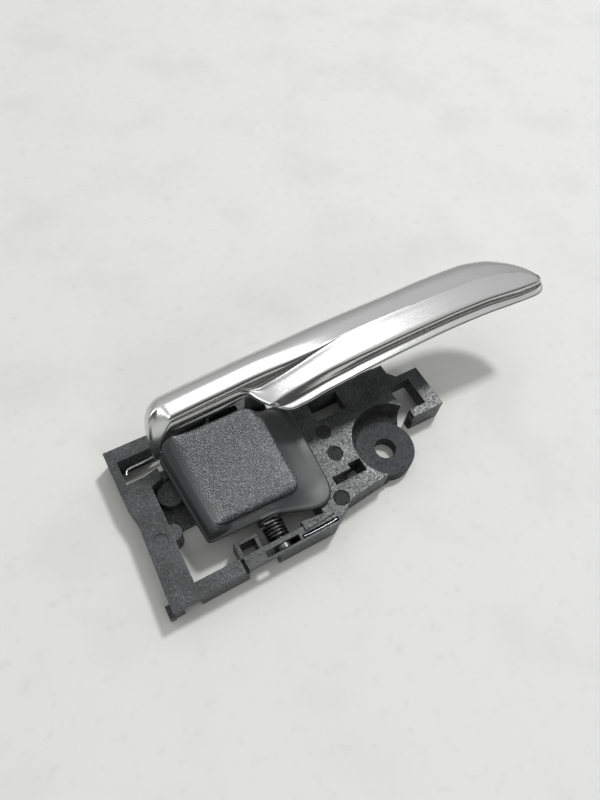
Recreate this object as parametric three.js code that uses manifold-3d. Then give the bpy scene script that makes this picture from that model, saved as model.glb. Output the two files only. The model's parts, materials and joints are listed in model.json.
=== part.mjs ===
// Car door inner handle: a moulded frame, a pull lever and a lock knob on one pivot pin.
// Millimetres, +Z up off the surface that the frame lies on, +X towards the free tip of the lever.
// The layout below counts x and y from the frame's front left corner; the last lines move the origin
// to the middle of the base.

import * as THREE from "three";
import { mergeVertices } from "three/addons/utils/BufferGeometryUtils.js";
import Module from "manifold-3d";

const wasm = await Module();
wasm.setup();

// ---------------------------------------------------------------- driving dimensions

const GAP = 0.3; // clearance between touching pieces
const FRAME = { height: 10.7, back: 58, rearWall: 56.6, plateBack: 45.6, frontFace: -2.6, inner: 2.4 };
const PIN = { x: 41, z: 7.5, radius: 2, headRadius: 3, end: 58 };
const BUSH = { inner: PIN.radius + GAP, outer: 3.2 };
const BORE = BUSH.outer + GAP;
const BOSS = { x: 93.3, y: 15.6, radius: 11.2, height: 5, hole: 4.1 };
const SEAT = { x: 95.1, y: 16.3, radius: 14.8 }; // the sunken area round the boss
const EJECTOR = { radius: 2.85, depth: 0.4, marks: [[73.2, 20.6], [66.3, 4.9], [73.7, 30], [5.4, 19.5]] };
const LOOP = { x: [106.5, 116], y: [23.4, 35.4], right: 122, front: 20, back: 38.4 };
const KNOB = { frontHub: [10.2, 13.8], rearHub: [36.8, 40.7], hubRadius: 4.4, floor: 11.6, wall: 2 };
const FACE = { nearY: 13.5, nearZ: 17.8, slope: 0.34, thickness: 3.2 };
const HUB = { lever: [45.8, 51.4], split: 48.6, radius: 4.6 };
const LEVER = { skin: 1.5, tongue: [45.9, 50], web: [37, 45] };
const GRIP = { backingStart: 66, screws: [78, 150], screwY: 46 };
const WIRE = 0.55; // radius of the spring wire
const ROUND = 24; // sides of a round piece

// ---------------------------------------------------------------- solids

function toSolid(geometry) {
  const bare = geometry.index ? geometry.toNonIndexed() : geometry.clone();
  bare.deleteAttribute("normal");
  bare.deleteAttribute("uv");
  const merged = mergeVertices(bare, 1e-4);
  return new wasm.Manifold(
    new wasm.Mesh({
      numProp: 3,
      vertProperties: merged.attributes.position.array,
      triVerts: new Uint32Array(merged.index.array),
    }),
  );
}

// An outline in plan, raised from z0 to z1. A point is [x, y].
function prism(points, z0, z1) {
  const shape = new THREE.Shape(points.map(([x, y]) => new THREE.Vector2(x, y)));
  const geometry = new THREE.ExtrudeGeometry(shape, { depth: z1 - z0, bevelEnabled: false });
  return toSolid(geometry.translate(0, 0, z0));
}

function block([x0, x1], [y0, y1], [z0, z1]) {
  const geometry = new THREE.BoxGeometry(x1 - x0, y1 - y0, z1 - z0);
  return toSolid(geometry.translate((x0 + x1) / 2, (y0 + y1) / 2, (z0 + z1) / 2));
}

// A round bar along Z at (x, y).
function post(x, y, radius, z0, z1, sides = ROUND) {
  const geometry = new THREE.CylinderGeometry(radius, radius, z1 - z0, sides);
  return toSolid(geometry.rotateX(Math.PI / 2).translate(x, y, (z0 + z1) / 2));
}

// A round bar along Y on the pin's axis.
function axle(radius, y0, y1, sides = ROUND) {
  const geometry = new THREE.CylinderGeometry(radius, radius, y1 - y0, sides);
  return toSolid(geometry.translate(PIN.x, (y0 + y1) / 2, PIN.z));
}

function ringOnPin(inner, outer, y0, y1) {
  return axle(outer, y0, y1).subtract(axle(inner, y0 - 1, y1 + 1));
}

// A closed body through rings of points; each ring has the same number of [x, y, z] points.
function loft(rings) {
  const count = rings[0].length;
  const positions = rings.flat(2);
  const index = [];
  for (let r = 0; r + 1 < rings.length; r++) {
    for (let i = 0; i < count; i++) {
      const a = r * count + i;
      const b = r * count + ((i + 1) % count);
      index.push(a, b, b + count, a, b + count, a + count);
    }
  }
  const last = (rings.length - 1) * count;
  const flat = (ring, axes) => ring.map((p) => new THREE.Vector2(p[axes[0]], p[axes[1]]));
  const axes = Math.abs(rings[0][0][0] - rings[0][1][0]) < 1e-9 ? [1, 2] : [0, 1];
  for (const [a, b, c] of THREE.ShapeUtils.triangulateShape(flat(rings[0], axes), [])) {
    index.push(a, c, b);
  }
  for (const [a, b, c] of THREE.ShapeUtils.triangulateShape(flat(rings.at(-1), axes), [])) {
    index.push(last + a, last + b, last + c);
  }
  const geometry = new THREE.BufferGeometry();
  geometry.setAttribute("position", new THREE.Float32BufferAttribute(positions, 3));
  geometry.setIndex(index);
  return toSolid(geometry);
}

// A round wire along a curve.
function wire(curve, radius, steps, sides = 8) {
  const section = new THREE.Shape();
  section.absarc(0, 0, radius, 0, 2 * Math.PI, false);
  return toSolid(
    new THREE.ExtrudeGeometry(section, { extrudePath: curve, steps, curveSegments: sides }),
  );
}

function joined(solids) {
  return solids.reduce((sum, solid) => sum.add(solid));
}

// ---------------------------------------------------------------- frame

// The outline of the frame in plan: two rails at the left, the plate at the right.
function frameOutline() {
  return [
    [0.1, FRAME.frontFace],
    [60.7, FRAME.frontFace],
    [69.4, 2.9],
    [88.4, 4.8],
    [98, 14],
    [104.5, 24],
    [LOOP.x[0], 26.6],
    [LOOP.x[0], LOOP.back],
    [109.8, LOOP.back],
    [109.8, FRAME.plateBack],
    [62, FRAME.plateBack],
    [60, 48],
    [60, FRAME.rearWall],
    [20, FRAME.rearWall],
    [17, FRAME.back],
    [0.1, FRAME.back],
    [0.1, 38.6],
    [1.5, 30.4],
  ];
}

// The well that the lock knob dips into, and the trough that the lever's left end dips into.
function frameWells() {
  const below = -1;
  const above = FRAME.height + 1;
  const well = [
    [9.8, FRAME.inner],
    [58, FRAME.inner],
    [58, 41],
    [17, 41],
    [10.4, 38.6],
  ];
  const trough = [
    [3.2, 43.2],
    [9.6, 43.2],
    [15.4, 44.6],
    [50, 44.6],
    [50, 54.9],
    [20, 54.9],
    [16, 52.6],
    [3.2, 52.6],
  ];
  return prism(well, below, above).add(prism(trough, below, above));
}

// Cuts that lighten the underside, open downwards: x range, y range, height of the roof.
function underside() {
  const thin = FRAME.height - 2.4;
  const plate = FRAME.height - 4.6;
  const pockets = [
    [[2.6, 7.6], [8.5, 37], thin],
    [[12, 24.5], [-0.6, 1], thin],
    [[61.5, 80], [17.5, 32.4], plate],
    [[61.5, 103.6], [32.4, 43.4], plate],
  ];
  return joined(pockets.map(([x, y, roof]) => block(x, y, [-1, roof])));
}

function frameCuts() {
  const top = FRAME.height;
  const through = [-1, top + 1];
  return joined([
    block([74, 86.8], [34.9, 43.3], through),
    block([67.2, 75.2], [9.8, 12.9], through),
    block([75, 80], [9.8, 14.9], through),
    post(BOSS.x, BOSS.y, BOSS.hole, -1, top),
    block([105.4, 110], [27, 46], [top - 0.6, top + 1]), // shallow step along the plate's right end
    ...EJECTOR.marks.map(([x, y]) => post(x, y, EJECTOR.radius, top - EJECTOR.depth, top + 1)),
    block([14.8, 39], [38.5, 46.5], [6.2, top + 1]), // room for the knob's left side as it dips
    block([25.6, 26.8], [-3, 3], [7.6, top + 1]), // slot across the front rail
    block([34, 46.6], [-1.6, 0.6], [2, top + 1]), // recess of the pin's head
    block([47.6, 61.6], [-1.6, -0.2], [6.2, top + 1]), // slot of the detent leaf
    block([27, 38.5], [-3, 0.2], [-1, 8.8]), // opening under the front rail
    block([3.8, 9.8], [-3, 1.6], [-1, 6.4]), // cable seat in the front face
    block([106, LOOP.right - 2.2], [25.6, LOOP.back + 1], [-1, 3.6]), // relief under the loop
    ringOnPin(0, PIN.radius + GAP, 0, FRAME.back + 1),
  ]);
}

// The loop that locates the frame in the door panel.
function locatingLoop() {
  const height = [0, FRAME.height - 0.6];
  return joined([
    block([108.4, LOOP.right], [LOOP.front, LOOP.y[0]], height),
    block([LOOP.x[1], LOOP.right], [LOOP.front, LOOP.back], height),
    block([LOOP.x[0] - 1, LOOP.right], [LOOP.y[1], LOOP.back], height),
    prism([[109, LOOP.back - 1], [112.4, LOOP.back - 1], [112.4, LOOP.back], [109.7, 41.5]], ...height),
  ]);
}

// Small walls and posts that stand inside or on the frame.
function frameDetails() {
  const top = FRAME.height;
  return joined([
    block([26.2, 27.6], [2, 7.4], [0, top - 1.2]), // box beside the lock spring
    block([26.2, 34.6], [7.2, 8.4], [0, top - 2.6]),
    block([33.4, 34.6], [2, 8.4], [0, top - 3]),
    post(10.4, 21, 3, 0, top - 1.4),
    block([9, 36], [23, 41.5], [0, 2.2]), // web across the back of the well
    post(15.4, 35.2, 4.8, 0, 6.8),
    block([-1.4, 0.6], [-2.9, 1.5], [0, 4.5]), // foot at the corner
    prism([[49.4, 0.3], [61.4, 1.2], [60.6, 2.6], [49.4, 3.8]], top - 3, top + 0.6), // snap tongue
    block([53, 58.6], [47.6, 53], [top - 1, 23]), // stop post
  ]);
}

function baseFrame() {
  const slab = prism(frameOutline(), 0, FRAME.height).subtract(frameWells());
  const seat = post(SEAT.x, SEAT.y, SEAT.radius, BOSS.height, FRAME.height + 1, 40);
  const boss = post(BOSS.x, BOSS.y, BOSS.radius, 0, BOSS.height, 40);
  const lightened = slab.subtract(underside()).subtract(seat).add(boss);
  return lightened.add(locatingLoop()).subtract(frameCuts()).add(frameDetails());
}

function pivotPin() {
  return axle(PIN.headRadius, -1.3, 0.4).add(axle(PIN.radius, 0.2, PIN.end));
}

// A torsion coil on the pin, from y0 with the given turns, with a leg at each end.
function torsionCoil(y0, turns, legs) {
  const radius = 3.4;
  const pitch = 2 * WIRE + 0.1;
  const perTurn = 12;
  const points = [];
  for (let i = 0; i <= turns * perTurn; i++) {
    const angle = (2 * Math.PI * i) / perTurn;
    const y = y0 + WIRE + (pitch * i) / perTurn;
    points.push(new THREE.Vector3(PIN.x + radius * Math.cos(angle), y, PIN.z + radius * Math.sin(angle)));
  }
  const path = [...legs.start, ...points, ...legs.end].map((p) =>
    p.isVector3 ? p : new THREE.Vector3(...p),
  );
  const curve = new THREE.CatmullRomCurve3(path, false, "centripetal");
  return wire(curve, WIRE, Math.round(path.length * 1.1), 6);
}

function leverSpring() {
  return torsionCoil(51.7, 1.5, {
    start: [],
    end: [[30, 53.4, 5.2], [14, 51.4, 5.2], [5.6, 51.2, 5.2], [4.4, 49.2, 5.2]],
  });
}

function lockSpring() {
  return torsionCoil(3, 4.25, {
    start: [[44.6, 3.5, 3.4]],
    end: [[38.6, 8.6, 11.4]],
  });
}

// ---------------------------------------------------------------- lock knob

// A ring of points round a four-sided outline with round corners. A corner is [x, y, radius].
function roundedRing(corners, heightAt) {
  const arcSteps = 4;
  const ring = [];
  corners.forEach(([x, y, radius], i) => {
    const corner = new THREE.Vector2(x, y);
    const before = new THREE.Vector2(...corners[(i + 3) % 4]).sub(corner).normalize();
    const after = new THREE.Vector2(...corners[(i + 1) % 4]).sub(corner).normalize();
    const half = Math.acos(before.dot(after)) / 2;
    const reach = radius / Math.tan(half);
    const from = corner.clone().addScaledVector(before, reach);
    const to = corner.clone().addScaledVector(after, reach);
    const arc = new THREE.QuadraticBezierCurve(from, corner, to);
    for (const p of arc.getPoints(arcSteps)) ring.push([p.x, p.y, heightAt(p.x, p.y)]);
  });
  return ring;
}

// Height of the knob's face, which falls towards the front rail.
function faceHeight(x, y) {
  return FACE.nearZ + FACE.slope * (y - FACE.nearY);
}

const SKIRT = [[18.8, 11, 1.5], [65.2, 1.4, 8], [67.6, 45.4, 7], [16, 45.4, 2]];
const SHOULDER = [[19.2, 11.6, 1.5], [60, 6.4, 6], [62.4, 45.2, 7], [16.6, 45.2, 2]];
const FACE_EDGE = [[20.4, 12.6, 2], [51.8, 12.8, 2.5], [53.6, 45, 7], [17.4, 45, 3]];

// Corners moved towards the middle of the outline.
function inset(corners, distance) {
  const cx = corners.reduce((sum, c) => sum + c[0], 0) / 4;
  const cy = corners.reduce((sum, c) => sum + c[1], 0) / 4;
  return corners.map(([x, y, r]) => [
    x - Math.sign(x - cx) * distance,
    y - Math.sign(y - cy) * distance,
    Math.max(r - distance, 0.6),
  ]);
}

function knobShell(offset, floor) {
  const rim = (x, y) => 12.8 + 0.12 * Math.max(y - 12, 0) - offset;
  const shoulder = (x, y) => 0.55 * rim(x, y) + 0.45 * (faceHeight(x, y) - FACE.thickness - offset);
  return loft([
    roundedRing(inset(SKIRT, offset), () => floor),
    roundedRing(inset(SKIRT, offset), rim),
    roundedRing(inset(SHOULDER, offset), shoulder),
    roundedRing(inset(FACE_EDGE, offset), (x, y) => faceHeight(x, y) - FACE.thickness - GAP - offset),
  ]);
}

function hubWithWeb([y0, y1], top) {
  const web = block([PIN.x - 3.4, PIN.x + 3.4], [y0, y1], [PIN.z, top]);
  return axle(KNOB.hubRadius, y0, y1).add(web);
}

function lockBody() {
  const shell = knobShell(0, KNOB.floor).subtract(knobShell(KNOB.wall, KNOB.floor - 1));
  const hubs = hubWithWeb(KNOB.frontHub, 13).add(hubWithWeb(KNOB.rearHub, 21.6));
  const arch = axle(6.6, -2, 9.6);
  const notch = block([28.4, 33.2], [4, 10], [10, 15.2]);
  return shell.subtract(arch).subtract(notch).add(hubs).subtract(axle(BORE, 9, 42));
}

function lockFace() {
  const edge = inset(FACE_EDGE, 0.2);
  const crown = inset(FACE_EDGE, 2.6);
  return loft([
    roundedRing(edge, (x, y) => faceHeight(x, y) - FACE.thickness),
    roundedRing(edge, (x, y) => faceHeight(x, y) - 1.4),
    roundedRing(crown, faceHeight),
  ]);
}

// ---------------------------------------------------------------- pull lever

// Stations along the grip: x, back edge y, front edge y, crest z, underside z, spread.
// Spread is 0 where the grip is a narrow bar over the knob, and 1 where it is a wide blade.
const STATIONS = [
  [14.8, 51.6, 46.8, 33.4, 26.6, 0],
  [16.2, 54.8, 46.2, 35, 25.8, 0],
  [19.5, 57, 46, 35.9, 25.5, 0],
  [25, 58, 46, 36.4, 25.6, 0],
  [44, 58.2, 46, 38, 27.4, 0],
  [50, 58.3, 44.6, 38.4, 28.2, 0.12],
  [56, 58.3, 37.2, 38.8, 29.2, 0.4],
  [62, 58.3, 34.2, 39.1, 30, 0.6],
  [74, 58.4, 33.6, 39.6, 30.8, 0.85],
  [90, 58.5, 33.8, 40, 31.4, 1],
  [110, 58.5, 34.2, 40.4, 32, 1],
  [130, 58.3, 34.6, 40.5, 32.4, 1],
  [146, 57.6, 34.5, 40.3, 32.4, 1],
  [157, 55.2, 33.9, 39.8, 32.2, 1],
  [165, 51, 33.4, 39.2, 32.2, 1],
  [170, 46, 33.4, 38.6, 32.8, 1],
  [173, 40.8, 34.2, 37.9, 33.6, 1],
  [174.2, 38.2, 35.4, 37, 34.6, 1],
];

const UNDERSIDE = [0, 11, 12]; // the points of a section that lie on its underside

// The grip's section at a station: [x, y, z] points from the back of the underside over the top.
function gripRing([x, back, front, crest, under, spread]) {
  const mix = THREE.MathUtils.lerp;
  const width = back - front;
  const height = crest - under;
  const ridge = spread < 1 ? Math.max(front, back - 11.2) : back - Math.min(11.2, 0.55 * width);
  const span = back - ridge;
  const points = [
    [back - 0.14 * span, under],
    [back, under + 0.24 * height],
    [back - 0.02 * span, crest - 0.4 * height],
    [back - 0.16 * span, crest - 0.14 * height],
    [back - 0.42 * span, crest],
    [ridge + 0.26 * span, crest - 0.04 * height],
    [ridge + 0.08 * span, crest - mix(0.22, 0.07, spread) * height],
    [ridge, crest - mix(0.55, 0.12, spread) * height],
    [mix(ridge, front, 0.5), crest - mix(0.62, 0.18, spread) * height],
    [front + mix(0, 0.12, spread) * width, crest - mix(0.7, 0.3, spread) * height],
    [front, crest - mix(0.8, 0.62, spread) * height],
    [front + 0.04 * width, under + 0.04 * height],
    [mix(front, back, 0.3), under],
  ];
  return points.map(([y, z]) => [x, y, z]);
}

// The grip's body, drawn in on all sides, with its underside let down by drop.
function gripBody(inward, drop) {
  const middle = (s) => [(s[1] + s[2]) / 2, (s[3] + s[4]) / 2];
  const rings = STATIONS.map((station) => {
    const [cy, cz] = middle(station);
    const halfWidth = (station[1] - station[2]) / 2;
    const halfHeight = (station[3] - station[4]) / 2;
    return gripRing(station).map(([x, y, z], i) => [
      x,
      cy + (y - cy) * Math.max(1 - inward / halfWidth, 0.05),
      cz + (z - cz) * Math.max(1 - inward / halfHeight, 0.05) - (UNDERSIDE.includes(i) ? drop : 0),
    ]);
  });
  return loft(rings);
}

function leverSkin() {
  const cavity = gripBody(LEVER.skin, 6).intersect(block([16.6, 168.5], [30, 60], [20, 45]));
  const bosses = joined(GRIP.screws.map((x) => post(x, GRIP.screwY, 2.6, 35.3, 40)));
  const pilots = joined(GRIP.screws.map((x) => post(x, GRIP.screwY, 1.4, 30, 37.3)));
  const tongue = prism([[14.9, 46.9], [16.6, 46.2], [16.6, 50], [14.9, 50]], 12.4, 30);
  const solidBosses = bosses.intersect(gripBody(0.5, 0));
  return gripBody(0, 0).subtract(cavity).add(solidBosses).subtract(pilots).add(tongue);
}

function leverCore() {
  const inner = gripBody(LEVER.skin + GAP, 0);
  const bar = inner.intersect(block([17, GRIP.backingStart - GAP], [30, 60], [20, 45]));
  const webs = block(LEVER.web, HUB.lever, [PIN.z, 24.8]).add(block(LEVER.web, [48.2, 51.4], [24, 31]));
  const tongue = block([17, 19.6], LEVER.tongue, [10.4, 24.8]).add(block([17, 19.6], [48.2, 50], [24, 30]));
  const eye = new THREE.CylinderGeometry(1.5, 1.5, 8, 16).rotateZ(Math.PI / 2).translate(18, 48, 13.6);
  const hub = axle(HUB.radius, ...HUB.lever);
  return joined([bar, webs, hub, tongue.subtract(toSolid(eye))]).subtract(axle(BORE, 40, 56));
}

function gripBacking() {
  const inner = gripBody(LEVER.skin + GAP, 0);
  const plate = inner.intersect(block([GRIP.backingStart, 167.5], [30, 60], [20, 35]));
  const holes = GRIP.screws.map((x) => post(x, GRIP.screwY, 2.7, 28, 36));
  return plate.subtract(joined(holes));
}

function gripScrew(x) {
  return post(x, GRIP.screwY, 2.3, 32.2, 34).add(post(x, GRIP.screwY, 1.1, 33.5, 36.9, 12));
}

// ---------------------------------------------------------------- the assembly

const finishes = {
  moulded: { color: 0x2b2d2e, roughness: 0.75, metalness: 0 },
  smooth: { color: 0x1b1c1d, roughness: 0.42, metalness: 0 },
  grained: { color: 0x202122, roughness: 0.55, metalness: 0 },
  silver: { color: 0xc2c4c3, roughness: 0.32, metalness: 0.75 },
  steel: { color: 0xa9abad, roughness: 0.3, metalness: 1 },
  rubber: { color: 0x141414, roughness: 0.9, metalness: 0 },
  acetal: { color: 0xd9d7cf, roughness: 0.5, metalness: 0 },
};

function piece(name, solid, finish) {
  const { vertProperties, triVerts } = solid.getMesh();
  const geometry = new THREE.BufferGeometry();
  geometry.setAttribute("position", new THREE.BufferAttribute(vertProperties, 3));
  geometry.setIndex(new THREE.BufferAttribute(triVerts, 1));
  geometry.computeVertexNormals();
  const mesh = new THREE.Mesh(geometry, new THREE.MeshStandardMaterial(finishes[finish]));
  mesh.name = name;
  return mesh;
}

const assembly = new THREE.Group();
assembly.add(
  piece("base_frame", baseFrame(), "moulded"),
  piece("pivot_pin", pivotPin(), "steel"),
  piece("pin_clip", ringOnPin(PIN.radius + GAP, 4, FRAME.rearWall + GAP, FRAME.rearWall + 1), "steel"),
  piece("wave_washer", ringOnPin(PIN.radius + GAP, 3.8, 44.9, 45.5), "steel"),
  piece("lever_spring", leverSpring(), "steel"),
  piece("lock_spring", lockSpring(), "steel"),
  piece("lock_detent", block([47.9, 61.3], [-1.3, -0.5], [6.5, 10.5]), "steel"),
  piece("lever_bumper", block([53, 58.6], [47.6, 53], [23 + GAP, 28.4]), "rubber"),
  piece("lock_bumper", block([60, 64], [24, 30], [FRAME.height + 0.1, KNOB.floor - 0.1]), "rubber"),
  piece("lever_core", leverCore(), "moulded"),
  piece("lever_skin", leverSkin(), "silver"),
  piece("grip_backing", gripBacking(), "smooth"),
  piece("grip_screw_inner", gripScrew(GRIP.screws[0]), "steel"),
  piece("grip_screw_outer", gripScrew(GRIP.screws[1]), "steel"),
  piece("lever_bush_front", ringOnPin(BUSH.inner, BUSH.outer, HUB.lever[0], HUB.split), "acetal"),
  piece("lever_bush_rear", ringOnPin(BUSH.inner, BUSH.outer, HUB.split + GAP, HUB.lever[1]), "acetal"),
  piece("lock_body", lockBody(), "smooth"),
  piece("lock_face", lockFace(), "grained"),
  piece("lock_bush_front", ringOnPin(BUSH.inner, BUSH.outer, ...KNOB.frontHub), "acetal"),
  piece("lock_bush_rear", ringOnPin(BUSH.inner, BUSH.outer, ...KNOB.rearHub), "acetal"),
);

const bounds = new THREE.Box3().setFromObject(assembly);
const middle = bounds.getCenter(new THREE.Vector3());
assembly.position.set(-middle.x, -middle.y, -bounds.min.z);

const part = new THREE.Group();
part.add(assembly);

export default part;
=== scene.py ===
"""Looks of a car door inner handle: silver pull lever, black lock knob and moulded frame.

The layout is in millimetres from the frame's front left corner, as in the part's source. at() turns
a layout point into the row frame, in metres.
"""

import json
import math

import bmesh
import bpy
from mathutils import Matrix, Vector


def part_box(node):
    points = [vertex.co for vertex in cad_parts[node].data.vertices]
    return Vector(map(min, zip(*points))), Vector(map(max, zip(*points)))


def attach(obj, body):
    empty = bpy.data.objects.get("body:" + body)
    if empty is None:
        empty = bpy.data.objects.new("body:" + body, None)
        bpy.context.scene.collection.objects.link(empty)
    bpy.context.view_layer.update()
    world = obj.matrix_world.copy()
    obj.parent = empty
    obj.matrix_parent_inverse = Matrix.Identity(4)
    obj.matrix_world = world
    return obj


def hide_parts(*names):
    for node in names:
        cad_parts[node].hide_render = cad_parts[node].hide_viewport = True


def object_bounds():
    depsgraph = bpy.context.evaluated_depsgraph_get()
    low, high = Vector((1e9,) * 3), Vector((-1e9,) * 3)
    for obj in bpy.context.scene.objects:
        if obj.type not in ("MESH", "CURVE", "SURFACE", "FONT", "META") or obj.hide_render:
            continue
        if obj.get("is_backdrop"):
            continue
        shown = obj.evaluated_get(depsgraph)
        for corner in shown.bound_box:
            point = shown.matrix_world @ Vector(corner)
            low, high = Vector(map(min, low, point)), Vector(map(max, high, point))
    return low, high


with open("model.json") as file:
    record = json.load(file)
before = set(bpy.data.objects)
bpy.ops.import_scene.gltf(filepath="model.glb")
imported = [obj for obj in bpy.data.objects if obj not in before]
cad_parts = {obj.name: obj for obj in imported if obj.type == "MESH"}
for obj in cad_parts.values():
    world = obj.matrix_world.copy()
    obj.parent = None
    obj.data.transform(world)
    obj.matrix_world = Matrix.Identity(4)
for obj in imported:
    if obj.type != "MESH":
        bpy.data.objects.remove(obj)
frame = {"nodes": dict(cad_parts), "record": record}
nodes = frame["nodes"]
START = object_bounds()
# The frame's box starts 1.4 mm left of the layout's origin and 2.9 mm in front of it.
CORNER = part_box("base_frame")[0] + Vector((0.0014, 0.0029, 0))

PIN = Vector((41, 0, 7.5))  # the pin's axis, which runs along y
BUSH_RADIUS = 3.5
SCREWS = ((78, 46), (150, 46))  # the backing's screws: x, y
EJECTOR_MARKS = [(73.2, 20.6), (66.3, 4.9), (73.7, 30)]
EJECTOR_RADIUS = 2.9
SEAT = (95.1, 16.3, 14.8)  # the sunken area round the boss, where shade is painted: x, y, radius
BOSS = (93.3, 15.6, 11.2)
SEAT_HEIGHT = 5


def at(x, y, z):
    return CORNER + Vector((x, y, z)) / 1000


# ---------------------------------------------------------------- curves and meshes


def step(a, b, x):
    """0 below a, 1 above b, smooth between them."""
    t = min(max((x - a) / (b - a), 0), 1)
    return t * t * (3 - 2 * t)


def mix(a, b, t):
    return a + (b - a) * t


def hermite(a, slope_a, b, slope_b, t):
    """The cubic from a, at 0, to b, at 1, with these slopes at its ends."""
    return (
        (2 * t**3 - 3 * t**2 + 1) * a
        + (t**3 - 2 * t**2 + t) * slope_a
        + (3 * t**2 - 2 * t**3) * b
        + (t**3 - t**2) * slope_b
    )


def bezier(a, b, c, d, t):
    return a * (1 - t) ** 3 + b * 3 * t * (1 - t) ** 2 + c * 3 * t * t * (1 - t) + d * t**3


def along(rows, x):
    """The row of values at x, on a smooth curve through rows that start with their own x."""
    i = max(k for k in range(len(rows) - 1) if rows[k][0] <= x or k == 0)
    a, b = rows[i], rows[i + 1]
    before = rows[i - 1] if i else a
    after = rows[i + 2] if i + 2 < len(rows) else b
    span = b[0] - a[0]
    t = (x - a[0]) / span
    values = []
    for k in range(1, len(a)):
        slope_a = slope(before, a, b, k) * span
        slope_b = slope(a, b, after, k) * span
        values.append(hermite(a[k], slope_a, b[k], slope_b, t))
    return values


def slope(before, here, after, k):
    """A slope at here that doesn't overshoot its neighbours."""
    left = (here[k] - before[k]) / (here[0] - before[0]) if here[0] > before[0] else None
    right = (after[k] - here[k]) / (after[0] - here[0]) if after[0] > here[0] else None
    if left is None or right is None:
        return right if left is None else left
    if left * right <= 0:
        return 0
    return 2 * left * right / (left + right)


def round_loop(points, per):
    """A smooth closed loop through the points, with per steps between two of them."""
    n = len(points)
    loop = []
    for i in range(n):
        p0, p1, p2, p3 = (points[(i + k) % n] for k in (-1, 0, 1, 2))
        t1 = max((p1 - p0).length, 1e-6) ** 0.5
        t2 = max((p2 - p1).length, 1e-6) ** 0.5
        t3 = max((p3 - p2).length, 1e-6) ** 0.5
        m1 = ((p1 - p0) / t1 - (p2 - p0) / (t1 + t2) + (p2 - p1) / t2) * t2
        m2 = ((p2 - p1) / t2 - (p3 - p1) / (t2 + t3) + (p3 - p2) / t3) * t2
        loop += [hermite(p1, m1, p2, m2, s / per) for s in range(per)]
    return loop


def in_scene(name, data):
    obj = bpy.data.objects.new(name, data)
    bpy.context.scene.collection.objects.link(obj)
    return obj


def new_object(name, bm, sharp_angle=None):
    """A smooth-shaded object from bm, whose edges are sharp above sharp_angle in degrees."""
    bmesh.ops.recalc_face_normals(bm, faces=bm.faces)
    mesh = bpy.data.meshes.new(name)
    bm.to_mesh(mesh)
    bm.free()
    mesh.shade_smooth()
    if sharp_angle is not None:
        sharpen(mesh, sharp_angle)
    return in_scene(name, mesh)


def sharpen(mesh, degrees):
    mesh.set_sharp_from_angle(angle=math.radians(degrees))


def loft(name, rings, sharp_angle=None):
    """A closed skin over rings of layout points, with a cap on the first and on the last."""
    bm = bmesh.new()
    rows = [[bm.verts.new(at(*p)) for p in ring] for ring in rings]
    n = len(rows[0])
    for low, high in zip(rows, rows[1:]):
        for i in range(n):
            bm.faces.new((low[i], low[(i + 1) % n], high[(i + 1) % n], high[i]))
    for row in (rows[0], rows[-1]):
        bm.faces.new(row)
    return new_object(name, bm, sharp_angle)


def wire(name, points, radius):
    """A round wire along layout points, as a mesh."""
    curve = bpy.data.curves.new(name, "CURVE")
    curve.dimensions = "3D"
    curve.bevel_depth = radius / 1000
    curve.bevel_resolution = 4
    curve.use_fill_caps = True
    curve.resolution_u = 6
    spline = curve.splines.new("NURBS")
    spline.points.add(len(points) - 1)
    for target, p in zip(spline.points, points):
        target.co = (*at(*p), 1)
    spline.use_endpoint_u = True
    spline.order_u = 4
    bent = in_scene(name + "_curve", curve)
    mesh = bpy.data.meshes.new_from_object(bent.evaluated_get(bpy.context.evaluated_depsgraph_get()))
    mesh.name = name
    mesh.shade_smooth()
    bpy.data.objects.remove(bent)
    return in_scene(name, mesh)


def soften(obj, width, segments, angle):
    """Rounds the edges that are sharper than angle in degrees."""
    bevel = obj.modifiers.new("soft edges", "BEVEL")
    bevel.width = width / 1000
    bevel.segments = segments
    bevel.limit_method = "ANGLE"
    bevel.angle_limit = math.radians(angle)
    bevel.use_clamp_overlap = True
    bevel.harden_normals = False
    bevel.miter_outer = "MITER_ARC"


def cylinder(radius, length, centre, turn=Matrix()):
    """An upright round bar to combine with, or one turned by a matrix."""
    bm = bmesh.new()
    radius /= 1000
    bmesh.ops.create_cone(
        bm, cap_ends=True, segments=48, radius1=radius, radius2=radius, depth=length / 1000
    )
    bmesh.ops.transform(bm, matrix=Matrix.Translation(at(*centre)) @ turn, verts=bm.verts)
    return bm


def bar_on_pin(radius, y0, y1):
    """A round bar on the pin's axis to combine with."""
    middle = (PIN.x, (y0 + y1) / 2, PIN.z)
    return cylinder(radius, y1 - y0, middle, Matrix.Rotation(math.pi / 2, 4, "X"))


def block(low, high):
    """A box between two layout points to combine with."""
    bm = bmesh.new()
    bmesh.ops.create_cube(bm, size=1)
    a, b = at(*low), at(*high)
    size = Matrix.Diagonal((b.x - a.x, b.y - a.y, b.z - a.z, 1))
    bmesh.ops.transform(bm, matrix=Matrix.Translation((a + b) / 2) @ size, verts=bm.verts)
    return bm


def combine(obj, bm, operation):
    """Adds the shape in bm to obj, or cuts it away."""
    combine_objects(obj, new_object(obj.name + "_tool", bm), operation)


def combine_objects(obj, tool, operation):
    """The same with a tool that is an object, which is used up."""
    change = obj.modifiers.new("combine", "BOOLEAN")
    change.operation = operation
    change.solver = "EXACT"
    change.object = tool
    with bpy.context.temp_override(object=obj, active_object=obj, selected_objects=[obj]):
        bpy.ops.object.modifier_apply(modifier=change.name)
    bpy.data.objects.remove(tool)


# ---------------------------------------------------------------- finishes


def smooth_range(tree, low, high, out_low=0.0, out_high=1.0):
    node = tree.nodes.new("ShaderNodeMapRange")
    node.interpolation_type = "SMOOTHSTEP"
    ends = {"From Min": low, "From Max": high, "To Min": out_low, "To Max": out_high}
    for key, number in ends.items():
        node.inputs[key].default_value = number
    return node


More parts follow.
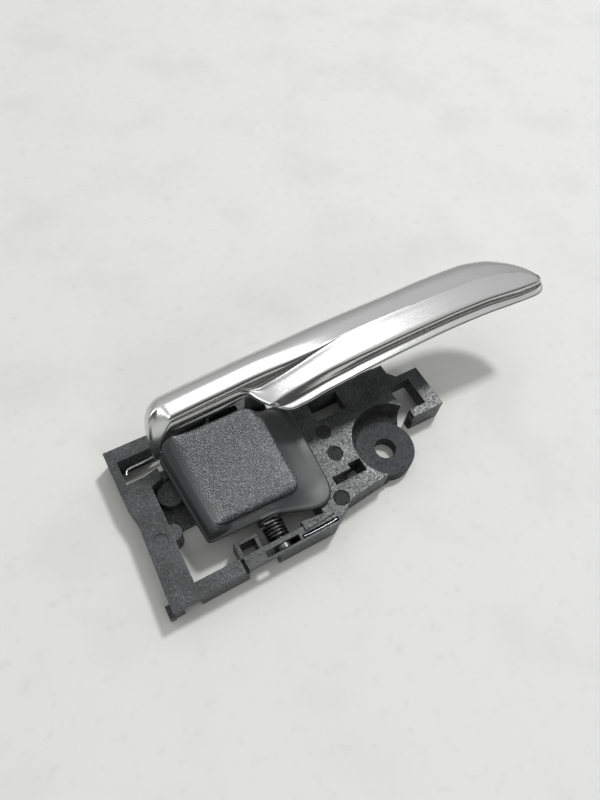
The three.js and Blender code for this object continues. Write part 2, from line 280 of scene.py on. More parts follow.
class Finish:
    """A procedural material. Distances inside it are in millimetres."""

    def __init__(self, name, color, roughness, metallic=0.0):
        self.material = bpy.data.materials.new(name)
        self.material.use_nodes = True
        self.tree = self.material.node_tree
        self.shader = self.tree.nodes["Principled BSDF"]
        self.shader.inputs["Metallic"].default_value = metallic
        place = self.node("ShaderNodeTexCoord")
        scale = self.node("ShaderNodeVectorMath")
        scale.operation = "SCALE"
        scale.inputs["Scale"].default_value = 1000
        self.link(place.outputs["Object"], scale.inputs[0])
        self.place = scale.outputs[0]
        self.color = self.constant("ShaderNodeRGB", (*color, 1))
        self.roughness = self.constant("ShaderNodeValue", roughness)
        self.normal = None

    def node(self, kind):
        return self.tree.nodes.new(kind)

    def link(self, a, b):
        self.tree.links.new(a, b)

    def constant(self, kind, value):
        node = self.node(kind)
        node.outputs[0].default_value = value
        return node.outputs[0]

    def texture(self, kind, size, stretch=(1, 1, 1)):
        """A texture node whose features are about size across, times stretch along each axis."""
        mapping = self.node("ShaderNodeMapping")
        mapping.inputs["Scale"].default_value = [1 / (size * s) for s in stretch]
        self.link(self.place, mapping.inputs["Vector"])
        node = self.node(kind)
        node.inputs["Scale"].default_value = 1
        self.link(mapping.outputs[0], node.inputs["Vector"])
        return node

    def noise(self, size, detail, stretch=(1, 1, 1)):
        node = self.texture("ShaderNodeTexNoise", size, stretch)
        node.inputs["Detail"].default_value = detail
        node.inputs["Roughness"].default_value = 0.55
        return node.outputs["Fac"]

    def cells(self, size):
        return self.texture("ShaderNodeTexVoronoi", size).outputs["Distance"]

    def band(self, source, low, high):
        """0 where source is low and 1 where it is high, smooth between them."""
        node = smooth_range(self.tree, low, high)
        self.link(source, node.inputs["Value"])
        return node.outputs["Result"]

    def disc(self, x, y, radius):
        """1 inside an upright cylinder at the layout point, 0 outside."""
        soft = 0.25
        flat = self.vector_math("MULTIPLY", self.place, (1, 1, 0))
        centre = at(x, y, 0) * 1000
        away = self.vector_math("DISTANCE", flat.outputs[0], (centre.x, centre.y, 0))
        return self.band(away.outputs["Value"], radius + soft, radius - soft)

    def across(self, direction, low, high):
        """0 at the layout point low and 1 at high, measured along a direction."""
        dot = self.vector_math("DOT_PRODUCT", self.place, direction)
        ends = [Vector(direction).dot(at(*point) * 1000) for point in (low, high)]
        return self.band(dot.outputs["Value"], *ends)

    def vector_math(self, operation, a, b):
        """A vector node on the output a and on b, an output or three numbers."""
        node = self.node("ShaderNodeVectorMath")
        node.operation = operation
        self.link(a, node.inputs[0])
        if isinstance(b, tuple):
            node.inputs[1].default_value = b
        else:
            self.link(b, node.inputs[1])
        return node

    def math(self, operation, a, b):
        node = self.node("ShaderNodeMath")
        node.operation = operation
        for socket, item in zip(node.inputs, (a, b)):
            if isinstance(item, (int, float)):
                socket.default_value = item
            else:
                self.link(item, socket)
        return node.outputs[0]

    def tint(self, mask, color, strength):
        """Turns the colour towards color where mask is 1."""
        node = self.node("ShaderNodeMix")
        node.data_type = "RGBA"
        self.link(self.math("MULTIPLY", mask, strength), node.inputs["Factor"])
        self.link(self.color, node.inputs["A"])
        node.inputs["B"].default_value = (*color, 1)
        self.color = node.outputs["Result"]

    def rougher(self, mask, amount):
        self.roughness = self.math("ADD", self.roughness, self.math("MULTIPLY", mask, amount))

    def bevel_normal(self, radius, samples):
        bevel = self.node("ShaderNodeBevel")
        bevel.samples = samples
        bevel.inputs["Radius"].default_value = radius / 1000
        return bevel.outputs[0]

    def edges(self):
        """1 on convex and concave edges, 0 on flat faces."""
        normal = self.node("ShaderNodeNewGeometry").outputs["Normal"]
        dot = self.vector_math("DOT_PRODUCT", self.bevel_normal(0.35, 4), normal)
        return self.band(dot.outputs["Value"], 0.995, 0.82)

    def round_edges(self, radius):
        self.normal = self.bevel_normal(radius, 6)

    def bump(self, height, distance, strength):
        node = self.node("ShaderNodeBump")
        node.inputs["Strength"].default_value = strength
        node.inputs["Distance"].default_value = distance / 1000
        self.link(height, node.inputs["Height"])
        if self.normal is not None:
            self.link(self.normal, node.inputs["Normal"])
        self.normal = node.outputs[0]

    def done(self):
        self.link(self.color, self.shader.inputs["Base Color"])
        self.link(self.roughness, self.shader.inputs["Roughness"])
        if self.normal is not None:
            self.link(self.normal, self.shader.inputs["Normal"])
        return self.material


def moulded_plastic():
    """Glass-filled black plastic: pale specks that are partly painted sparkle, dusty on top, paler worn
    edges, dark round marks, and painted shade in the sunken seat round the boss.
    """
    f = Finish("moulded_plastic", (0.017, 0.018, 0.019), 0.4)
    f.shader.inputs["Specular IOR Level"].default_value = 0.6
    f.round_edges(0.35)
    # Pale specks: partly the plastic's own speckle, partly painted sparkle of gloss.
    speckle_and_sparkle = f.band(f.noise(0.5, 2), 0.52, 0.66)
    cloud = f.band(f.noise(9, 4), 0.36, 0.66)
    f.tint(cloud, (0.07, 0.073, 0.076), 0.6)
    f.tint(speckle_and_sparkle, (0.17, 0.175, 0.18), 0.5)
    fleck = f.band(f.noise(0.9, 3), 0.5, 0.35)
    f.tint(fleck, (0.01, 0.01, 0.011), 0.55)
    f.tint(f.edges(), (0.13, 0.135, 0.14), 0.45)
    for x, y in EJECTOR_MARKS:
        mark = f.disc(x, y, EJECTOR_RADIUS)
        f.tint(mark, (0.008, 0.0085, 0.009), 0.85)
        f.rougher(mark, 0.35)
    low = f.across((0, 0, 1), (0, 0, SEAT_HEIGHT + 1), (0, 0, SEAT_HEIGHT + 0.4))
    seat = f.math("MULTIPLY", f.disc(*SEAT), low)
    boss = f.math("MULTIPLY", f.disc(*BOSS), low)
    # The sunken seat is painted nearly black: painted shade in the recess, which the boss's own tint then
    # covers again.
    f.tint(seat, (0.004, 0.004, 0.0045), 0.85)
    f.tint(boss, (0.034, 0.036, 0.038), 0.75)
    f.rougher(cloud, 0.08)
    f.rougher(seat, 0.35)
    f.rougher(boss, -0.1)
    f.rougher(speckle_and_sparkle, -0.12)
    f.rougher(fleck, 0.2)
    f.bump(f.noise(0.5, 3), 0.035, 0.5)
    f.bump(f.noise(3.5, 2), 0.04, 0.3)
    return f.done()


def silver_paint():
    """Satin silver paint: fine flakes, soft brushing along the grip, faint wear."""
    f = Finish("silver_paint", (0.66, 0.665, 0.66), 0.24, 1.0)
    flakes = f.noise(0.12, 2)
    cloud = f.band(f.noise(14, 3, (3, 1, 1)), 0.35, 0.7)
    f.tint(f.band(flakes, 0.55, 0.7), (0.8, 0.8, 0.8), 0.25)
    f.tint(cloud, (0.58, 0.585, 0.58), 0.35)
    f.rougher(cloud, 0.05)
    f.rougher(f.band(f.noise(0.9, 3, (12, 1, 1)), 0.5, 0.75), 0.05)
    f.bump(flakes, 0.012, 0.35)
    f.bump(f.noise(7, 2, (3, 1, 1)), 0.03, 0.25)
    f.shader.inputs["Coat Weight"].default_value = 0.15
    f.shader.inputs["Coat Roughness"].default_value = 0.12
    return f.done()


def smooth_black():
    """Satin black plastic of the knob's body, with a faint orange peel and scuffs."""
    f = Finish("smooth_black", (0.03, 0.031, 0.033), 0.42)
    f.shader.inputs["Specular IOR Level"].default_value = 0.56
    cloud = f.band(f.noise(11, 4), 0.35, 0.7)
    f.tint(cloud, (0.045, 0.047, 0.049), 0.5)
    scuff = f.band(f.noise(0.7, 3, (9, 1, 1)), 0.6, 0.75)
    f.tint(scuff, (0.1, 0.1, 0.1), 0.25)
    f.rougher(scuff, 0.12)
    f.rougher(cloud, 0.06)
    f.bump(f.noise(0.35, 2), 0.012, 0.4)
    return f.done()


def leather_grain():
    """Black plastic with a fine pebbled grain that fades out towards the left, with painted sparkle on
    the grain.
    """
    f = Finish("leather_grain", (0.011, 0.0115, 0.013), 0.34)
    f.shader.inputs["Specular IOR Level"].default_value = 0.75
    grained = f.across((1, 0.095, 0), (22.4, 13.4, 0), (28.5, 13.4, 0))
    pebbles = f.math("MULTIPLY", f.cells(0.42), grained)
    fine = f.math("MULTIPLY", f.noise(0.24, 3), grained)
    # Paler specks on the grain: painted sparkle.
    painted_glint_specks = f.math("MULTIPLY", f.band(f.noise(0.6, 2), 0.5, 0.62), grained)
    f.tint(painted_glint_specks, (0.125, 0.13, 0.135), 0.6)
    f.rougher(f.band(fine, 0.4, 0.7), 0.14)
    f.bump(pebbles, -0.15, 0.85)
    f.bump(fine, 0.13, 0.85)
    f.bump(f.noise(1.3, 2), 0.05, 0.3)
    return f.done()


def steel(name, color, roughness):
    """Spring steel with stains and drawing marks."""
    f = Finish(name, color, roughness, 1.0)
    f.round_edges(0.2)
    stain = f.band(f.noise(1.6, 4), 0.45, 0.75)
    f.tint(stain, (0.3, 0.3, 0.3), 0.5)
    f.rougher(stain, 0.2)
    f.bump(f.noise(0.25, 2, (1, 4, 1)), 0.02, 0.5)
    return f.done()


def rubber():
    """Black rubber with paler, dusty edges."""
    f = Finish("rubber", (0.018, 0.018, 0.018), 0.8)
    f.round_edges(0.4)
    f.tint(f.band(f.noise(1.2, 4), 0.45, 0.7), (0.05, 0.05, 0.05), 0.5)
    f.tint(f.edges(), (0.08, 0.08, 0.08), 0.4)
    f.rougher(f.noise(2.5, 2), -0.15)
    f.bump(f.noise(0.3, 3), 0.05, 0.6)
    return f.done()


def acetal():
    """Ivory acetal with faint stains."""
    f = Finish("acetal", (0.6, 0.59, 0.54), 0.42)
    f.round_edges(0.25)
    f.tint(f.band(f.noise(2.2, 4), 0.45, 0.7), (0.42, 0.4, 0.35), 0.5)
    f.tint(f.edges(), (0.75, 0.74, 0.7), 0.4)
    f.rougher(f.noise(1.5, 2), 0.12)
    f.bump(f.noise(0.4, 2), 0.02, 0.4)
    return f.done()


SHADE_PAINTED_STEEL = steel("dark_steel", (0.07, 0.07, 0.073), 0.34)  # painted shade: darker steel for the pin and the front coil, which lie in shadow

finishes = {
    "moulded_plastic": moulded_plastic(),
    "silver_skin": silver_paint(),
    "smooth_black": smooth_black(),
    "grained_black": leather_grain(),
    "steel": steel("steel", (0.56, 0.57, 0.58), 0.26),
    "rubber": rubber(),
    "acetal": acetal(),
}


def paint(obj, material):
    obj.data.materials.clear()
    obj.data.materials.append(material)


def shown(obj, body, slot, replaced):
    """obj rides on body, takes the slot's finish and stands for the CAD node."""
    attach(obj, body)
    paint(obj, finishes[slot])
    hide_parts(replaced)


for entry in frame["record"]["subparts"]:
    node = nodes[entry["node"]]
    paint(node, finishes[entry["material_slot"]])
    weld = node.modifiers.new("weld", "WELD")
    weld.merge_threshold = 2e-6
    flat = node.modifiers.new("flat faces", "DECIMATE")
    flat.decimate_type = "DISSOLVE"
    flat.angle_limit = math.radians(0.5)

# The pin takes the darkened steel: painted shade.
paint(nodes["pivot_pin"], SHADE_PAINTED_STEEL)

# ---------------------------------------------------------------- pull lever

# Along the grip: x, back edge y, front edge y, crest z, underside z.
GRIP = [
    [24, 57.9, 46, 36.4, 25.6],
    [34, 58.1, 46, 37.2, 26.4],
    [46, 58.2, 46, 38.1, 27.7],
    [50, 58.3, 44.6, 38.4, 28.2],
    [56, 58.3, 37.2, 38.8, 29.2],
    [62, 58.3, 34.2, 39.1, 30],
    [74, 58.4, 33.6, 39.6, 30.8],
    [90, 58.5, 33.8, 40, 31.4],
    [110, 58.5, 34.2, 40.4, 32],
    [130, 58.8, 34.6, 40.5, 32.4],
    [146, 58.6, 34.5, 40.3, 32.4],
    [157, 56.8, 33.9, 39.8, 32.2],
    [165, 52.9, 33.4, 39.2, 32.2],
    [170, 48.6, 33.4, 38.6, 32.8],
    [172.6, 44.9, 33.6, 38.2, 33.2],
    [173.8, 42.4, 34.4, 37.7, 33.7],
    [174.4, 40.5, 35.4, 37.2, 34.3],
    [174.7, 39.4, 36.7, 36.7, 35],
]

# The wing in front of the bar: x, then y and z of its root, its front edge, its groove and its lip.
WING = [
    [24, 46.9, 33, 46, 31.5, 46.1, 28.6, 45.7, 26.6],
    [40, 47.2, 33.4, 46.3, 31.9, 46.4, 29.2, 45.9, 27.5],
    [48, 47.4, 33.2, 46.6, 31.8, 46.6, 29.6, 46.4, 28.4],
    [50.5, 47.2, 32.8, 46.2, 31.6, 46.4, 30, 46.4, 29.2],
    [52, 46.6, 32.6, 43.6, 31.6, 44, 30.4, 44.2, 29.6],
    [54, 46, 32.7, 40.4, 31.8, 40.7, 30.6, 40.9, 30],
    [56, 45.8, 33.1, 38.2, 32.4, 38.3, 30.9, 38.4, 30.3],
    [58.5, 45.7, 33.9, 38.3, 33.1, 36.6, 31.4, 35.6, 30.9],
    [62, 45.7, 34.8, 38.4, 34, 36.3, 31.8, 33.8, 31.1],
    [68, 46, 36.2, 38.4, 35.5, 36.5, 32.8, 33.5, 32],
    [74, 46.6, 37.3, 38.6, 36.5, 36.9, 33.5, 33.9, 32.7],
    [80, 47.2, 38.5, 38.5, 37.3, 37.2, 34, 34.1, 33.3],
    [86, 47.8, 39.4, 38.3, 37.9, 37.4, 34.4, 34.3, 33.7],
    [90, 48.2, 39.75, 38.3, 38.2, 37.6, 34.7, 34.5, 34],
    [110, 48.3, 40.25, 38.6, 38.8, 38.1, 35.2, 35.1, 34.4],
    [130, 48, 40.35, 38.8, 39, 38.4, 35.3, 35.5, 34.5],
    [146, 47.7, 40.15, 38.6, 38.8, 38.2, 35.1, 35.3, 34.3],
    [157, 46.5, 39.65, 37.9, 38.3, 37.5, 34.7, 34.8, 33.9],
    [165, 44.5, 39.05, 37.5, 37.8, 36.9, 34.3, 34.5, 33.6],
    [170, 42.4, 38.45, 37.5, 37.3, 36.9, 34.3, 34.4, 33.5],
    [172.6, 41, 37.95, 37.7, 36.9, 37.1, 34.5, 34.7, 33.7],
    [173.8, 40.3, 37.4, 37.9, 36.5, 37.4, 34.9, 35.3, 34.1],
    [174.4, 39.6, 36.9, 38.1, 36.2, 37.6, 35.2, 36.1, 34.5],
    [174.7, 39, 36.4, 38.2, 36, 37.8, 35.5, 36.8, 35],
]

GRIP_START, GRIP_END = 24.0, 174.7
FULL_WIDTH, FULL_HEIGHT = 24.5, 8.7  # where the grip is smaller, near its tip, its section shrinks
BLADE = (52, 92)  # between these x the round bar with its wing becomes one flat blade
MIDDLE_UNDER = (0, 24)  # points of a section in the middle of its underside
UNDERSIDE = (0, 23, 24)


def grip_section(x):
    """The grip's section at x: 25 points from under its back edge over the top to its front lip."""
    back, front, crest, under = along(GRIP, x)
    root_y, root_z, edge_y, edge_z, groove_y, groove_z, lip_y, lip_z = along(WING, x)
    sy = min((back - front) / FULL_WIDTH, 1)
    sz = min((crest - under) / FULL_HEIGHT, 1)
    flat = step(*BLADE, x)
    bar = [
        (back - 3.4, under + 0.1),
        (back - 1, under + 1.3),
        (back - 0.1, under + 4),
        (back - 0.25, crest - 4.2),
        (back - 1.3, crest - 2.2),
        (back - 3.2, crest - 0.75),
        (back - 5.3, crest - 0.1),
        (back - 6.3, crest),
        (back - 8.4, crest - 0.3),
        (back - 10.6, crest - 0.72),
        (back - 11.3, crest - 1.2),
        (back - 11.7, crest - 2.2),
    ]
    blade = [
        (back - 4 * sy, under + 0.1 * sz),
        (back - 1.2 * sy, under + 1 * sz),
        (back - 0.1 * sy, under + 3 * sz),
        (back - 0.2 * sy, crest - 3.6 * sz),
        (back - 1.3 * sy, crest - 2 * sz),
        (back - 3 * sy, crest - 1.1 * sz),
        (back - 5 * sy, crest - 0.55 * sz),
    ]
    for t in (0.34, 0.5, 0.66, 0.82, 0.93):
        blade.append((mix(back - 5 * sy, root_y - 0.4 * sy, t), crest - mix(0.5, 0.1, t) * sz))
    points = [(mix(a[0], b[0], flat), mix(a[1], b[1], flat)) for a, b in zip(bar, blade)]
    lip_gap = lip_y - groove_y
    return points + [
        (root_y, root_z),
        (mix(root_y, edge_y, 0.3), mix(root_z, edge_z, 0.18)),
        (mix(root_y, edge_y, 0.62), mix(root_z, edge_z, 0.5)),
        (mix(root_y, edge_y, 0.9), mix(root_z, edge_z, 0.82)),
        (edge_y, mix(edge_z, groove_z, 0.08)),
        (mix(edge_y, groove_y, 0.5), mix(edge_z, groove_z, 0.5)),
        (groove_y + 0.2 * sy, mix(groove_z, edge_z, 0.1)),
        (groove_y + 0.12 * lip_gap, mix(groove_z, lip_z, 0.1) - 0.05),
        (mix(groove_y, lip_y, 0.55), mix(groove_z, lip_z, 0.5)),
        (lip_y + 0.35 * sy, lip_z + 0.1 * sz),
        (lip_y + 0.15 * sy, lip_z - 0.45 * sz),
        (lip_y + 1.6 * sy, mix(under, lip_z, 0.12)),
        (mix(back, lip_y, 0.5), under),
    ]


def elbow(t):
    """The section at t along the turn from the grip's left end, at 0, to the tongue's tip, at 1.

    Each point of the section runs down a curve of its own, past near and far to the tip.
    """
    ring = []
    for i, (y, z) in enumerate(grip_section(GRIP_START)):
        start = Vector((GRIP_START, y, z))
        if i in MIDDLE_UNDER:
            near, far, tip = (20.4, y - 0.6, 25.2), (17.5, 49.4, 22.5), (16.8, 47.6)
        elif i <= 3:  # the back
            near, far = (17.6, y - 0.6, z), (15.4, 51, 23.5 + 2 * (i - 1))
            tip = (16.2 - 0.4 * (i - 1), 48.2)
        elif i <= 6:  # from the back over to the crest
            near, far = (17.2, y - 0.2, z - 0.2), (14.4, 50.6 - 1.2 * (i - 4), 31)
            tip = (15, 48.1 - 0.5 * (i - 4))
        elif i <= 9:  # the top
            share = (i - 7) / 2
            near = (mix(19.4, 21.6, share), y - 0.3, z - 0.1)
            far = (mix(15.6, 18, share), mix(47.6, 46.2, share), mix(29, 25, share))
            tip = (mix(15.3, 16, share), 46.4)
        else:  # the front, down to the underside
            share = (i - 10) / 13
            near = (mix(21.8, 20.4, share), mix(46.2, 46, share), z - 0.8)
            far = (mix(18.2, 17.7, share), 46.2, mix(24, 19.5, share))
            tip = (mix(16.1, 16.7, share), 46.25)
        tip_z = 12.6 + 1.1 * (tip[1] - 46.2)
        ring.append(bezier(start, Vector(near), Vector(far), Vector((*tip, tip_z)), t))
    return ring


def along_grip(first, last, spacing):
    """Section planes from first to last, closer together near the tip."""
    x = first
    while x < last:
        yield x
        x += mix(spacing, 0.22, step(165, 172, x))
    yield last


def drawn_in(x, inward, drop=0.0):
    """The grip's section at x moved inwards, behind the groove, with its underside let down by drop."""
    section = grip_section(x)
    front = along(WING, x)[4] + inward
    ys, zs = [p[0] for p in section], [p[1] for p in section]
    cy, cz = (max(ys) + min(ys)) / 2, (max(zs) + min(zs)) / 2
    shrink_y = max(1 - inward / (max(ys) - cy), 0.1)
    shrink_z = max(1 - inward / (max(zs) - cz), 0.1)
    ring = []
    for i, (y, z) in enumerate(section):
        inner_z = cz + (z - cz) * shrink_z
        inner_z = inner_z - drop if i in UNDERSIDE else min(inner_z, z - inward)
        ring.append(Vector((x, max(cy + (y - cy) * shrink_y, front), inner_z)))
    return ring


def lever_skin():
    """The silver shell: solid at its ends, open underneath where the backing closes it."""
    steps = 26
    rings = [elbow(1 - k / steps) for k in range(steps)]
    for x in along_grip(GRIP_START, GRIP_END, 1.3):
        rings.append([Vector((x, y, z)) for y, z in grip_section(x)])
    skin = loft("silver_grip", [round_loop(ring, 5) for ring in rings])
    hollow = loft("hollow", [drawn_in(x, 1.7, 4) for x in along_grip(66.0, 163.0, 3)])
    combine_objects(skin, hollow, "DIFFERENCE")
    sharpen(skin.data, 38)
    return skin


def lever_core():
    """The lever's black core: a bar inside the grip, two webs and the hub on the pin."""
    core = loft("core", [round_loop(drawn_in(x, 3.2), 2) for x in along_grip(GRIP_START, 47.0, 3)], 40)
    combine(core, block((37, 49, 7.5), (45, 51.4, 29)), "UNION")
    combine(core, block((37.2, 48.2, 24), (44.8, 51.2, 33)), "UNION")
    combine(core, bar_on_pin(4.6, 45.8, 51.4), "UNION")
    combine(core, bar_on_pin(BUSH_RADIUS, 40, 56), "DIFFERENCE")
    sharpen(core.data, 40)
    return core


def backing():
    """The plate that closes the grip from below, with a hole round each screw."""
    rings = []
    for x in along_grip(66.4, 162.4, 4):
        back, _, _, under = along(GRIP, x)
        groove_y = along(WING, x)[4]
        low, high = under + 1.2, under + 2.7
        ring = [(back - 3.2, low), (back - 2.4, low + 0.8), (back - 2.4, high), (groove_y + 2.4, high)]
        ring += [(groove_y + 2.4, low + 0.8), (groove_y + 3.2, low)]
        rings.append([(x, y, z) for y, z in ring])
    plate = loft("grip_back_plate", rings, 40)
    for x, y in SCREWS:
        combine(plate, cylinder(2.7, 20, (x, y, 33)), "DIFFERENCE")
    sharpen(plate.data, 40)
    soften(plate, 0.25, 3, 50)
    return plate


shown(lever_skin(), "lever", "silver_skin", "lever_skin")
shown(backing(), "lever", "smooth_black", "grip_backing")
shown(lever_core(), "lever", "moulded_plastic", "lever_core")

# ---------------------------------------------------------------- lock knob

# Corners of the knob's outlines, from the near left one: x, y, corner radius.
FACE_EDGE = [[22.6, 13.6, 3.2], [38, 13.3, 6], [54.8, 12.8, 4.2], [52.6, 44.3, 7.5], [19.6, 44.3, 3]]
SHOULDER = [[20.6, 12.5, 2.2], [41.5, 12, 14], [59.4, 7.8, 7], [60, 44.4, 7.5], [17.6, 44.4, 2.4]]
SKIRT = [[18.8, 11, 1.8], [42, 10.2, 30], [64.8, 1.6, 9], [65.6, 45.4, 8], [16, 45.4, 2]]
BEAD = 0.8  # width of the skirt's rounded rim
SEAT_GAP = 3.4  # the pad's seat lies this far under the face
SHOULDER_AT = 0.55  # the shoulder's place on the way from the skirt's rim to the face


def face_height(y):
    """Height of the knob's face, a shallow dish that falls towards the front rail."""
    away = y - 13.5
    return 17.8 + 0.12 * away + 0.007 * away * away


def leftness(x):
    """1 on the knob's left side, where its body rolls up flush with the face."""
    return 1 - step(22.5, 28, x)


def rounded(corners, height):
    """A ring round an outline with round corners, at height(x, y)."""
    corner_steps, side_steps = 9, 9
    ends = []
    count = len(corners)
    for i, (x, y, radius) in enumerate(corners):
        here = Vector((x, y))
        before = (Vector(corners[i - 1][:2]) - here).normalized()
        after = (Vector(corners[(i + 1) % count][:2]) - here).normalized()
        reach = radius / math.tan(before.angle(after) / 2)
        ends.append((here + before * reach, here, here + after * reach))
    ring = []
    for i, (start, here, end) in enumerate(ends):
        for k in range(corner_steps):
            t = k / (corner_steps - 1)
            ring.append(start * (1 - t) ** 2 + here * 2 * t * (1 - t) + end * t * t)
        following = ends[(i + 1) % count][0]
        for k in range(1, side_steps):
            ring.append(end.lerp(following, k / side_steps))
    return [(p.x, p.y, height(p.x, p.y)) for p in ring]


def inset(corners, distance):
    """The outline with every side moved inwards."""
    moved = []
    for i, (x, y, radius) in enumerate(corners):
        here = Vector((x, y))
        along_in = (here - Vector(corners[i - 1][:2])).normalized()
        along_out = (Vector(corners[(i + 1) % len(corners)][:2]) - here).normalized()
        inward = Vector((-along_in.y - along_out.y, along_in.x + along_out.x))
        here += inward * distance / (1 + along_in.dot(along_out))
        moved.append([here.x, here.y, max(radius - distance, 0.6)])
    return moved


def blended(a, b, t):
    return [[mix(p, q, t) for p, q in zip(ca, cb)] for ca, cb in zip(a, b)]


def rim(y):
    """Height of the top of the skirt's rim."""
    return 12.8 + 0.12 * max(y - 12, 0)


def flank(t):
    """The ring at t on the way from the skirt's rim, at 0, up to the edge of the face, at 1."""
    if t < SHOULDER_AT:
        outline = blended(inset(SKIRT, BEAD), SHOULDER, t / SHOULDER_AT)
    else:
        outline = blended(SHOULDER, FACE_EDGE, (t - SHOULDER_AT) / (1 - SHOULDER_AT))

    def height(x, y):
        start = rim(y) + 0.12
        flared = mix(start, face_height(y) - SEAT_GAP, t**1.9)
        rolled = mix(start, face_height(y) - 0.06, 1 - (1 - t) ** 2.2)
        return mix(flared, rolled, leftness(x))

    return rounded(outline, height)


def ceiling(x, y):
    """Height of the knob's inside under its face."""
    return face_height(y) - 6


def seat(x, y):
    """Height of the seat that the pad lies on."""
    return face_height(y) - SEAT_GAP - 0.1


def knob_shell():
    """The knob's shell: a rim with a soft bead, a hollow flare and a flat seat under the face."""
    rings = [rounded(inset(FACE_EDGE, distance), ceiling) for distance in (12, 2.2)]
    rings.append(rounded(inset(SKIRT, 2), lambda x, y: rim(y) - 1.4))
    for distance, z in ((1.9, 11.7), (0.3, 11.6), (0, 11.95)):
        rings.append(rounded(inset(SKIRT, distance), lambda x, y, z=z: z))
    for distance, lift in ((0, -0.7), (0.08, -0.42), (0.26, -0.14), (0.5, 0.04)):
        rings.append(rounded(inset(SKIRT, distance), lambda x, y, lift=lift: rim(y) + lift))
    steps = 12
    rings += [flank(k / steps) for k in range(steps + 1)]
    rings += [rounded(inset(FACE_EDGE, distance), seat) for distance in (0.03, 12)]
    return loft("knob_body", rings, 50)


def knob_body():
    """The shell with an arch over the front coil and two hubs on the pin."""
    knob = knob_shell()
    combine(knob, bar_on_pin(6.6, -2, 9.6), "DIFFERENCE")
    for y0, y1, top in ((10.2, 13.8, 13), (36.8, 40.7, 21.6)):
        combine(knob, bar_on_pin(4.4, y0, y1), "UNION")
        web = block((PIN.x - 3.4, y0 + 0.02, PIN.z), (PIN.x + 3.4, y1 - 0.02, top))
        combine(knob, web, "UNION")
    combine(knob, bar_on_pin(BUSH_RADIUS, 9, 42), "DIFFERENCE")
    sharpen(knob.data, 42)
    return knob


# The pad's section from its bottom edge: distance inside the edge, height over the face.
PAD = [
    [1.2, -3.1],
    [0.35, -3.1],
    [0.06, -2.9],
    [0.06, -1.9],
    [0.2, -1.2],
    [0.55, -0.7],
    [1.1, -0.35],
    [1.9, -0.14],
    [3.2, -0.02],
    [6, 0.08],
    [9.5, 0.14],
    [12.5, 0.16],
]


def knob_face():
    """The grained face: a pad whose edges roll down, but run flush into the body on the left."""
    width, bottom = PAD[-1][0], PAD[0][1]
    rings = [rounded(inset(FACE_EDGE, width), lambda x, y: face_height(y) + bottom)]
    for distance, lift in PAD:
        flush = lift if lift < -2.5 else max(lift, -0.04)

        def height(x, y, lift=lift, flush=flush):
            return face_height(y) + mix(lift, flush, leftness(x))

        rings.append(rounded(inset(FACE_EDGE, distance), height))
    return loft("knob_face", rings, 70)


shown(knob_body(), "lock", "smooth_black", "lock_body")
shown(knob_face(), "lock", "grained_black", "lock_face")

# ---------------------------------------------------------------- springs, leaf and small parts

WIRE = 0.55  # radius of both coils' wire


def coil(y0, turns):
    """Points of a coil round the pin's axis, from its first turn at y0."""
    radius, pitch, steps = 3.4, 1.2, 16
    reach = radius / math.cos(math.pi / steps) ** 0.5
    points = []
    for i in range(int(turns * steps) + 1):
        angle = 2 * math.pi * i / steps
        y = y0 + WIRE + pitch * i / steps
        points.append((PIN.x + reach * math.cos(angle), y, PIN.z + reach * math.sin(angle)))
    return points


def leaf():
    """The bent steel leaf that holds the knob."""
    half = 0.17
    corners = ((-half, 6.6), (half, 6.6), (half, 10.4), (-half, 10.4))
    centre = [(48, -0.75), (50, -0.95), (54, -1.0), (58, -0.95), (60.2, -0.8), (61.2, -0.72)]
    obj = loft("detent_leaf", [[(x, y + dy, z) for dy, z in corners] for x, y in centre], 40)
    soften(obj, 0.08, 2, 35)
    return obj


front_coil = [(45.2, 3.4, 2.6), (44.9, 3.5, 4.4)] + coil(3, 4.25) + [(39.4, 8.6, 11.2), (37.6, 8.7, 11.6)]
lock_coil = wire("lock_coil", front_coil, WIRE)
shown(lock_coil, "frame", "steel", "lock_spring")
# The front coil takes the darkened steel: painted shade.
paint(lock_coil, SHADE_PAINTED_STEEL)

# The rear coil's leg lies in the pocket at the frame's left end.
leg = [(34, 53.4, 4.6), (26, 52.8, 5), (14, 51.4, 5.3), (6.2, 51.3, 5.3), (5, 51, 5.3), (4.6, 49.2, 5.2)]
shown(wire("lever_coil", coil(51.7, 1.5) + leg, WIRE), "frame", "steel", "lever_spring")

shown(leaf(), "frame", "steel", "lock_detent")

# ---------------------------------------------------------------- floor, light and camera


def floor_finish():
    f = Finish("floor", (0.74, 0.745, 0.73), 0.62)
    f.tint(f.band(f.noise(45, 5), 0.45, 0.7), (0.66, 0.665, 0.65), 0.6)
    f.tint(f.band(f.noise(5, 5), 0.55, 0.75), (0.6, 0.6, 0.59), 0.35)
    f.rougher(f.noise(20, 3), 0.1)
    f.bump(f.noise(1.5, 4), 0.05, 0.25)
    return f.done()


def floor():
    bm = bmesh.new()
    half, below = 3.0, 0.0002
    signs = ((-1, -1), (1, -1), (1, 1), (-1, 1))
    bm.faces.new([bm.verts.new((half * x, half * y, -below)) for x, y in signs])
    obj = new_object("floor", bm)
    paint(obj, floor_finish())
    obj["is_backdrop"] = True


LIT = (85, 28, 15)  # the lamps shine at this point, in the middle of the object


def lamp(name, direction, distance, size, power):
    """An area light in this direction from the object, with its distance and sides in metres."""
    light = bpy.data.lights.new(name, "AREA")
    light.shape = "RECTANGLE"
    light.size, light.size_y = size
    light.energy = power
    obj = in_scene(name, light)
    away = Vector(direction).normalized()
    obj.location = at(*LIT) + away * distance
    level = (Vector((1, 0, 0)) - away * away.x).normalized()
    turn = Matrix((level, away.cross(level), away)).transposed()
    obj.rotation_mode = "QUATERNION"
    obj.rotation_quaternion = turn.to_quaternion()
    return obj


def link_light(light, piece, state):
    """With INCLUDE the light falls on the piece only, with EXCLUDE on all but the piece."""
    group = bpy.data.collections.new(light.name + " receivers")
    group.objects.link(bpy.data.objects[piece])
    group.collection_objects[0].light_linking.link_state = state
    light.light_linking.receiver_collection = group


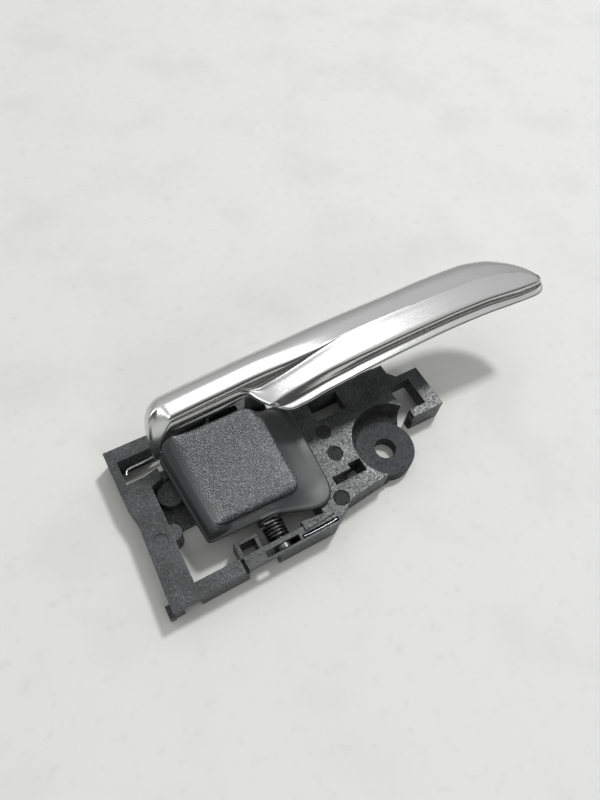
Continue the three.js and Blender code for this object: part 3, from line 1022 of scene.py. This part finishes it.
def sky():
    """Soft grey surroundings: bright overhead and behind, dark in front of the object."""
    world = bpy.data.worlds.new("surroundings")
    bpy.context.scene.world = world
    world.use_nodes = True
    tree = world.node_tree
    background = tree.nodes["Background"]
    place = tree.nodes.new("ShaderNodeTexCoord")
    split = tree.nodes.new("ShaderNodeSeparateXYZ")
    up = smooth_range(tree, 0.0, 0.9, 0.38, 0.7)
    front = smooth_range(tree, -0.55, -0.12, 0.14, 1.0)
    darker = tree.nodes.new("ShaderNodeMath")
    darker.operation = "MULTIPLY"
    tree.links.new(place.outputs["Generated"], split.inputs[0])
    tree.links.new(split.outputs["Z"], up.inputs["Value"])
    tree.links.new(split.outputs["Y"], front.inputs["Value"])
    tree.links.new(up.outputs["Result"], darker.inputs[0])
    tree.links.new(front.outputs["Result"], darker.inputs[1])
    tree.links.new(darker.outputs[0], background.inputs["Strength"])
    background.inputs["Color"].default_value = (1, 1, 1, 1)


def camera():
    """The photograph's view, solved from the straight edges of the frame."""
    data = bpy.data.cameras.new("camera")
    data.lens = 27
    data.sensor_width = 36
    data.clip_start = 0.01
    data.clip_end = 20
    obj = in_scene("camera", data)
    right = Vector((0.86767, -0.49088, 0.07857))
    down = Vector((-0.38712, -0.76633, -0.51272))
    ahead = Vector((0.3119, 0.41446, -0.85495))
    turn = Matrix((right, -down, -ahead)).transposed()
    obj.matrix_world = Matrix.Translation(at(1.944, -48.368, 205)) @ turn.to_4x4()
    bpy.context.scene.camera = obj


floor()
link_light(lamp("key", (0.5, 0.3, 1), 2.2, (0.26, 0.26), 25), "silver_grip", "EXCLUDE")
link_light(lamp("fill", (0.1, -0.9, 0.6), 1.8, (0.9, 0.6), 6.5), "silver_grip", "EXCLUDE")
link_light(lamp("glint", (0.5, -0.08, 0.88), 1.6, (0.12, 0.12), 18), "knob_face", "INCLUDE")
link_light(lamp("panel", (0.16, 0.2, 0.95), 1.5, (0.85, 0.34), 4.5), "silver_grip", "INCLUDE")
link_light(lamp("side", (-0.8, -0.2, 0.6), 1.5, (0.8, 0.6), 6), "silver_grip", "INCLUDE")
sky()
camera()
view = bpy.context.scene.view_settings
view.view_transform = "Standard"
view.look = "None"
view.exposure = 0.0

measured = {"start": START, "end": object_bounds()}
{label: [list(corner) for corner in corners] for label, corners in measured.items()}
